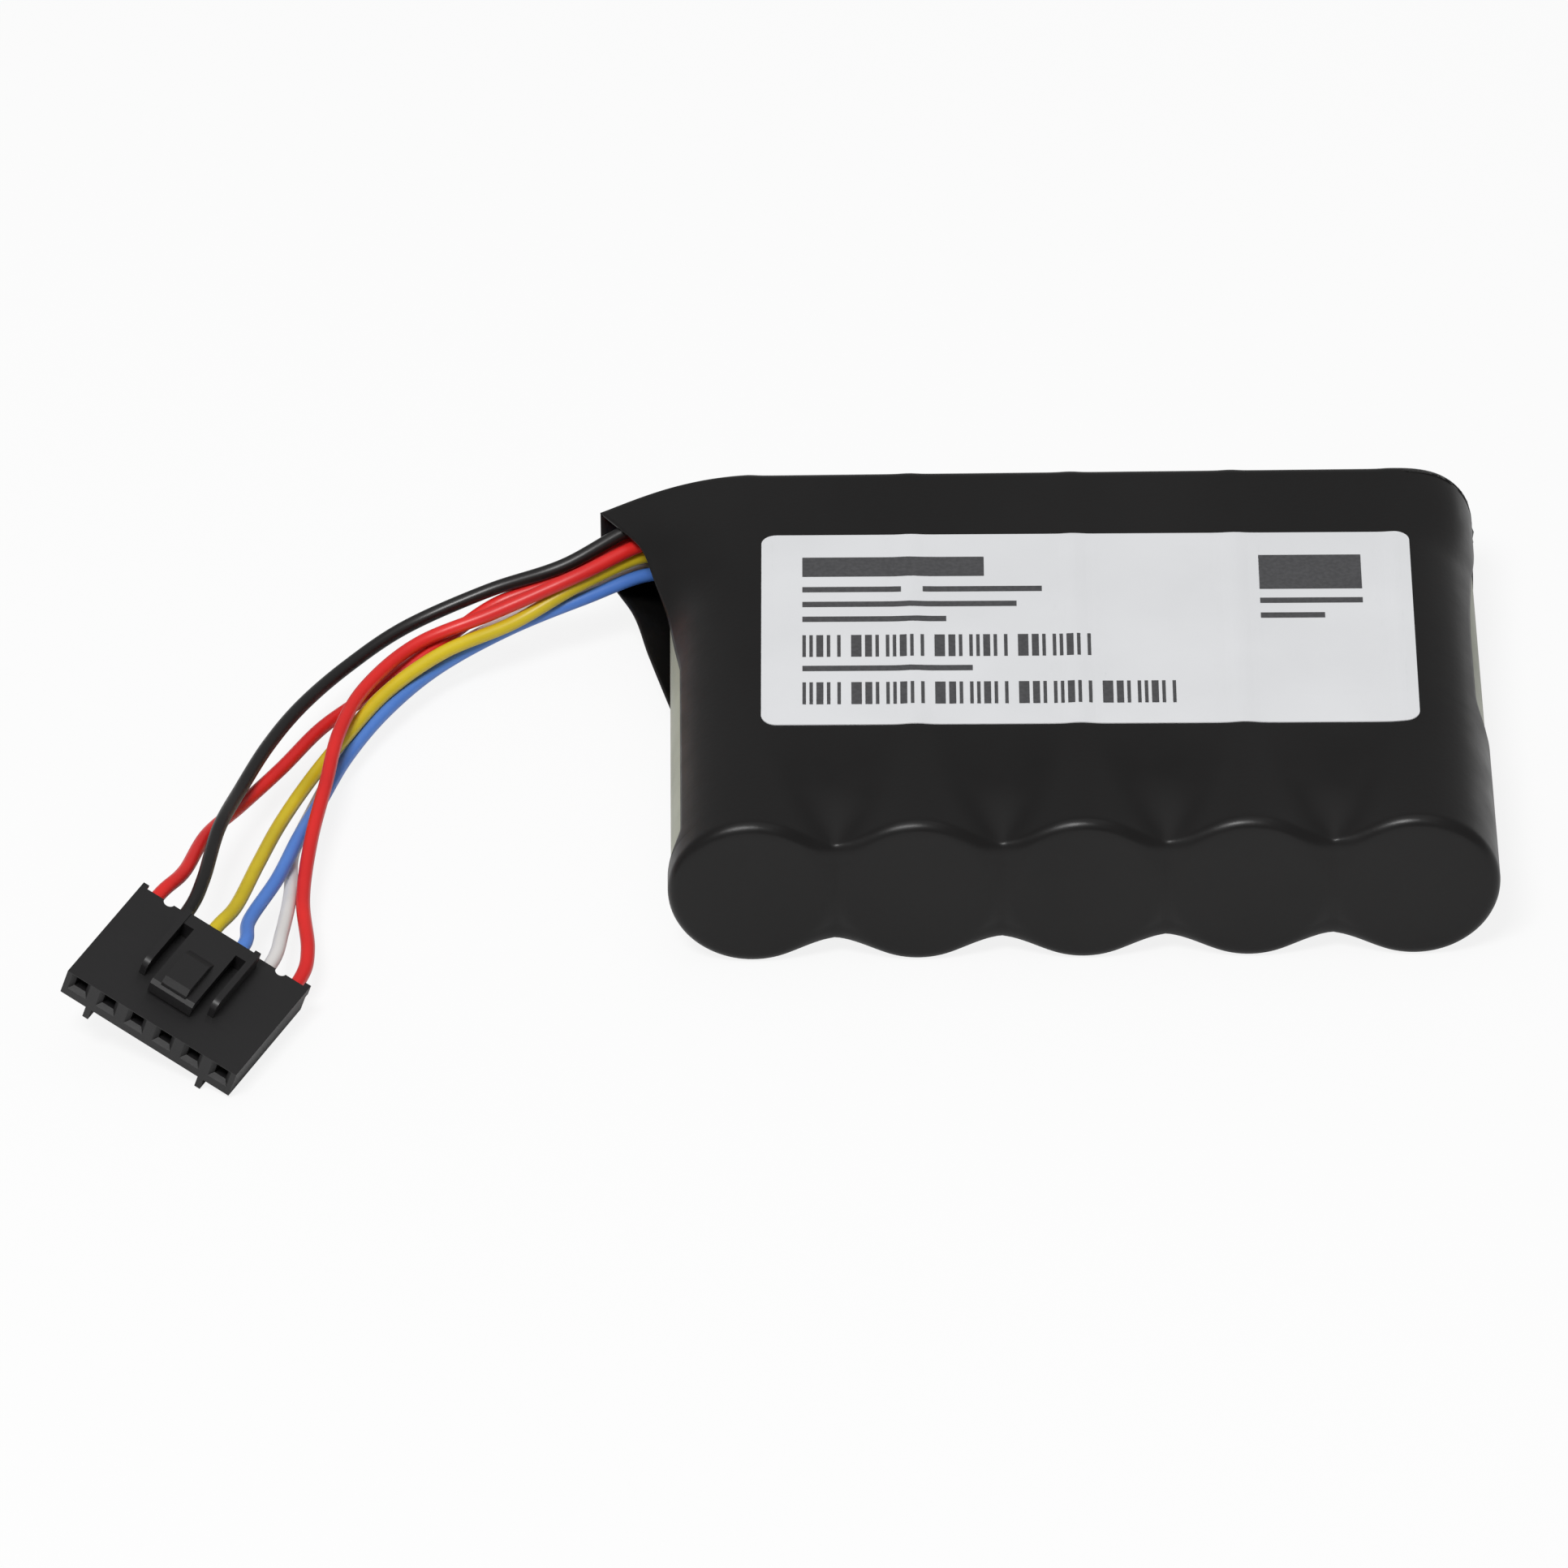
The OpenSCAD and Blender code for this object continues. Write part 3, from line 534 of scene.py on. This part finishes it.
def film_sheet(sign):
    rows = front_rows(sign)
    for y in row_positions():
        s = section(sign, y)
        rows.append(np.stack([s[:, 0], y - tip_setback(y) * left_pull() ** 2, s[:, 1]], 1))
    rows += rear_rows(sign)
    grid = np.array(rows)
    grid[..., 2] += AXIS_Z
    return grid


def grid_faces(rows, columns, start, flip):
    faces = []
    for r in range(rows - 1):
        for c in range(columns - 1):
            a = start + r * columns + c
            quad = [a, a + 1, a + columns + 1, a + columns]
            faces.append(quad[::-1] if flip else quad)
    return faces


def make_film(material):
    upper, lower = film_sheet(1), film_sheet(-1)
    rows, columns = upper.shape[:2]
    points = np.concatenate([upper.reshape(-1, 3), lower.reshape(-1, 3)])
    faces = grid_faces(rows, columns, 0, False) + grid_faces(rows, columns, rows * columns, True)
    film = mesh_object("film", points, faces, material)
    weld(film, WELD)
    shell = film.modifiers.new("thickness", "SOLIDIFY")
    shell.thickness = FILM_T * MM
    shell.offset = -1
    shell.use_rim = True
    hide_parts("film_wrap")


# ---- label ----

LABEL_AT = (0.9, 1.9)
LABEL_SIZE = (50.8, 25.4)
LABEL_R = 1.2
LABEL_T = 0.1
LABEL_TURN = -0.5
LABEL_LIFT = 0.01
LABEL_CELLS = (120, 60)

PRINT_LIFT = 0.005
PRINT_T = 0.012
STRIPE = 0.27           # width of the narrowest stripe
STRIPE_WIDTHS = (1, 1, 2, 1, 1, 3, 2, 1)
INK_CELL = 1.2          # largest cell of a printed field's mesh

# Printed fields, in label coordinates: (left, right, top, height)
BARS = [
    (-22.2, -8.0, 9.6, 2.6), (-22.2, -14.5, 5.6, 0.7), (-12.8, -3.5, 5.6, 0.7),
    (-22.2, -5.5, 3.6, 0.7), (-22.2, -11.0, 1.6, 0.7), (-22.2, -9.0, -5.0, 0.7),
    (13.5, 21.5, 9.6, 4.6), (13.5, 21.5, 3.8, 0.7), (13.5, 18.5, 1.8, 0.7),
]
STRIPES = [(-22.2, 0.8, -0.9, 2.9), (-22.2, 7.4, -7.2, 2.9)]


def label_point(u, v):
    """Place on the pack of a point u, v of the label, both from its middle."""
    a = math.radians(LABEL_TURN)
    x = LABEL_AT[0] + u * np.cos(a) - v * np.sin(a)
    y = LABEL_AT[1] + u * np.sin(a) + v * np.cos(a)
    return x, y, AXIS_Z + WRAP_R - valley(x, y)


def label_outline(v):
    """Half width of the label at v, with its round corners."""
    over = np.maximum(np.abs(v) - (LABEL_SIZE[1] / 2 - LABEL_R), 0)
    return LABEL_SIZE[0] / 2 - LABEL_R + np.sqrt(np.maximum(LABEL_R ** 2 - over ** 2, 0))


def sheet_on_label(name, corners, lift, thickness, material, cells):
    """A thin closed piece lying on the film: corners(s, t) gives label coordinates."""
    nu, nv = cells
    s, t = np.meshgrid(np.linspace(0, 1, nu + 1), np.linspace(0, 1, nv + 1))
    u, v = corners(s.ravel(), t.ravel())
    x, y, z = label_point(u, v)
    top = np.stack([x, y, z + lift + thickness], 1)
    bottom = np.stack([x, y, z + lift], 1)
    columns = nu + 1
    count = len(top)
    faces = grid_faces(nv + 1, columns, 0, False)
    faces += grid_faces(nv + 1, columns, count, True)
    ring = list(range(columns))
    ring += [columns * r + nu for r in range(1, nv + 1)]
    ring += [columns * nv + c for c in range(nu - 1, -1, -1)]
    ring += [columns * r for r in range(nv - 1, 0, -1)]
    for a, b in zip(ring, ring[1:] + ring[:1]):
        faces.append([a, a + count, b + count, b])
    return mesh_object(name, np.concatenate([top, bottom]), faces, material, smooth=False)


def make_label():
    paper = principled("label_white", srgb(221, 222, 224), 0.42, Specular_IOR_Level=0.35)
    vary(paper, "Base Color", noise(paper, 90, 3), srgb(219, 220, 222), srgb(223, 224, 226))
    add_bump(paper, noise(paper, 1800, 3), 0.15, 0.00002)

    def whole(s, t):
        edge = LABEL_SIZE[1] / 2
        v = edge * np.sin((t - 0.5) * math.pi)
        return (2 * s - 1) * label_outline(v), v

    thickness = LABEL_T - 2 * LABEL_LIFT
    label = sheet_on_label("label_sheet", whole, LABEL_LIFT, thickness, paper, LABEL_CELLS)
    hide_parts("label")


def stripe_fields():
    fields = []
    for left, right, top, height in STRIPES:
        u, k = left, 0
        while u < right:
            width = STRIPE * STRIPE_WIDTHS[k % len(STRIPE_WIDTHS)]
            fields.append((u, u + width, top, height))
            u += width + STRIPE * STRIPE_WIDTHS[(3 * k + 1) % len(STRIPE_WIDTHS)]
            k += 1
    return fields


def make_print():
    """Plain bars and stripes stand for the label's print."""
    ink = principled("print_grey", srgb(70, 70, 72), 0.5)
    vary(ink, "Base Color", noise(ink, 3000, 2), srgb(66, 66, 68), srgb(76, 76, 78))
    points, faces = [], []
    for left, right, top, height in BARS + stripe_fields():
        n = max(1, math.ceil((right - left) / INK_CELL))
        low = LABEL_T + PRINT_LIFT
        for lift in (low + PRINT_T, low):
            start = len(points)
            for v in (top - height, top):
                for u in np.linspace(left, right, n + 1):
                    x, y, z = label_point(u, v)
                    points.append((x, y, float(z) + lift))
            faces += grid_faces(2, n + 1, start, lift == low)
    piece = mesh_object("label_print", points, faces, ink, smooth=False)


# ---- wires ----

WIRE_R = 0.55
PLUG_AT = Vector((-71.7, -37.1, 2.9))
PLUG_TURN = [math.radians(a) for a in (4, 20, -27)]
PLUG_PITCH = 2.54
PLUG_LEN = 11.2
CONTACT_Z = 1.3
WIRE_END_Y = 7.4
WIRE_OUT = 1.4
WIRE_PAD_X = -22.0
WIRE_PAD_Y = 20.85
WIRE_STRAIGHT = 7.0
WIRE_SIDES = 20
WIRE_STEPS = 14         # points of the fine line between two points of a route

# name: (place in the plug, height of its solder pad, way from the board to the plug, slot)
WIRES = {
    "wire_red_1": (1, 7.9, "wire_red", [
        (-34, 20.5, 9), (-39.5, 17.5, 7.5), (-45.5, 16.5, 5.5), (-50.5, 12.5, 4), (-55.5, 8.5, 2.5),
        (-59, 3.5, 3), (-62, -2.5, 3.5), (-65, -8, 4), (-67.5, -14, 5.5), (-69, -20, 6.5)]),
    "wire_black": (2, 10.3, "wire_black", [
        (-34, 20, 10.5), (-40, 17.5, 8.5), (-46, 17, 6.5), (-52.5, 15, 4.5), (-57, 10.5, 4),
        (-60.5, 4.5, 4.5), (-63, -1.5, 5), (-65, -8, 5.5), (-66.5, -14.5, 6.5), (-67.5, -21, 6.5)]),
    "wire_yellow": (3, 5.1, "wire_yellow", [
        (-33, 19.5, 8), (-38.5, 16.5, 7.5), (-44, 14, 5.5), (-49.5, 11.5, 4.5), (-54, 7.5, 3.5),
        (-57.5, 1.5, 3), (-60, -4, 3), (-62, -10, 3.5), (-63.5, -16.5, 4.5), (-65, -22.5, 5)]),
    "wire_blue": (4, 3.9, "wire_blue", [
        (-33, 19, 6.5), (-38.5, 16.5, 6), (-44.5, 14.5, 4.5), (-50, 11.5, 3), (-54, 6.5, 2.5),
        (-57, 1, 2), (-59, -5, 2), (-60.5, -11, 3), (-62, -17, 3.5), (-64, -23, 4)]),
    "wire_white": (5, 2.6, "wire_white", [
        (-33, 21, 5.5), (-38.5, 18, 5.5), (-45, 16, 4), (-50.5, 13, 2.5), (-55, 8.5, 1.5),
        (-57.5, 2, 1), (-59.5, -4.5, 1), (-61, -11, 1.5), (-61, -17.5, 2.5), (-61.5, -24, 3.5)]),
    "wire_red_2": (6, 9.1, "wire_red", [
        (-33.5, 19, 9.5), (-39, 16, 8.5), (-45.5, 14, 6.5), (-51.5, 12, 5), (-55.5, 7, 4.5),
        (-57.5, 1, 4.5), (-58.5, -5.5, 4), (-59.5, -12, 3.5), (-60, -19, 3), (-59.5, -25.5, 3)]),
}
WIRE_COLORS = {
    "wire_red": (srgb(222, 38, 34), srgb(205, 30, 30)),
    "wire_black": (srgb(24, 22, 22), srgb(18, 17, 17)),
    "wire_yellow": (srgb(214, 190, 36), srgb(190, 168, 28)),
    "wire_blue": (srgb(88, 134, 212), srgb(72, 118, 200)),
    "wire_white": (srgb(222, 219, 217), srgb(208, 205, 203)),
}
PLUG_MATRIX = (
    Matrix.Translation(PLUG_AT)
    @ Matrix.Rotation(PLUG_TURN[2], 4, "Z")
    @ Matrix.Rotation(PLUG_TURN[1], 4, "Y")
    @ Matrix.Rotation(PLUG_TURN[0], 4, "X")
)


def from_plug(x, y, z):
    return tuple(PLUG_MATRIX @ Vector((x, y, z)))


def wire_route(place, pad_z, way):
    x = (place - 3.5) * PLUG_PITCH
    return np.array(
        [(WIRE_PAD_X, WIRE_PAD_Y, pad_z), (WIRE_PAD_X - WIRE_STRAIGHT, WIRE_PAD_Y, pad_z)] + way
        + [from_plug(x, PLUG_LEN + WIRE_OUT, CONTACT_Z), from_plug(x, WIRE_END_Y, CONTACT_Z)]
    )


def smooth_line(points, steps):
    """Catmull-Rom curve through the points."""
    p = np.vstack([2 * points[0] - points[1], points, 2 * points[-1] - points[-2]])
    t = (np.arange(steps) / steps)[:, None]
    out = []
    for a, b, c, d in zip(p, p[1:], p[2:], p[3:]):
        out.append(0.5 * (2 * b + (c - a) * t + (2 * a - 5 * b + 4 * c - d) * t ** 2
                          + (3 * b - a - 3 * c + d) * t ** 3))
    return np.vstack(out + [points[-1:]])


def tube(line, radius, sides):
    """Rings of points round a line, without twist, and their faces."""
    heading = np.gradient(line, axis=0)
    heading /= np.linalg.norm(heading, axis=1)[:, None]
    u = np.cross(heading[0], (0, 0, 1))
    rings = []
    angle = np.linspace(0, 2 * math.pi, sides, endpoint=False)
    for centre, h in zip(line, heading):
        u = u - h * u.dot(h)
        u /= np.linalg.norm(u)
        v = np.cross(h, u)
        rings.append(centre + radius * (np.cos(angle)[:, None] * u + np.sin(angle)[:, None] * v))
    n = len(rings)
    faces = [list(range(sides)), [(n - 1) * sides + s for s in reversed(range(sides))]]
    for r in range(n - 1):
        for s in range(sides):
            a, b = r * sides + s, r * sides + (s + 1) % sides
            faces.append([a, a + sides, b + sides, b])
    return np.concatenate(rings), faces


def make_wires():
    finishes = {
        slot: plastic(slot, light, dark, 0.38, grain=900, grain_depth=0.00004)
        for slot, (light, dark) in WIRE_COLORS.items()
    }
    for name, (place, pad_z, slot, way) in WIRES.items():
        line = smooth_line(wire_route(place, pad_z, way), WIRE_STEPS)
        points, faces = tube(line, WIRE_R, WIRE_SIDES)
        wire = mesh_object(name.replace("wire", "lead"), points, faces, finishes[slot])
        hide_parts(name)


# ---- CAD pieces that stay ----

def finish_cad_nodes():
    looks = {
        "housing": plastic("nylon_black", srgb(21, 20, 21), srgb(17, 16, 17), 0.48, 1800, 0.00003),
        "contact": principled("tinned_brass", srgb(208, 196, 166), 0.3, Metallic=1.0),
        "card": plastic("pressed_card", srgb(205, 190, 150), srgb(190, 174, 132), 0.8),
        "foam": plastic("black_foam", srgb(40, 40, 40), srgb(32, 32, 32), 0.9, 1200, 0.0001),
        "board": plastic("solder_mask", srgb(28, 84, 52), srgb(22, 72, 44), 0.35),
        "solder": principled("solder", srgb(200, 201, 204), 0.35, Metallic=1.0),
        "chip": plastic("chip_body", srgb(34, 34, 35), srgb(28, 28, 29), 0.5),
        "can": principled("drawn_can", srgb(205, 206, 208), 0.32, Metallic=1.0),
        "sleeve": plastic("sleeve_grey", srgb(165, 168, 150), srgb(150, 153, 136), 0.4),
        "winding": plastic("winding_paper", srgb(80, 74, 68), srgb(66, 60, 55), 0.8),
        "seal": plastic("seal_rubber", srgb(26, 26, 26), srgb(20, 20, 20), 0.7),
        "lead": principled("tinned_lead", srgb(214, 213, 210), 0.25, Metallic=1.0),
    }
    slots = {s["node"]: s["material_slot"] for s in frame["record"]["subparts"]}
    for name, piece in frame["nodes"].items():
        if piece.hide_render or slots[name] not in looks:
            continue
        piece.data.materials.clear()
        piece.data.materials.append(looks[slots[name]])


make_camera()
make_lights()
make_floor()
make_film(film_material())
make_label()
make_print()
make_wires()
finish_cad_nodes()
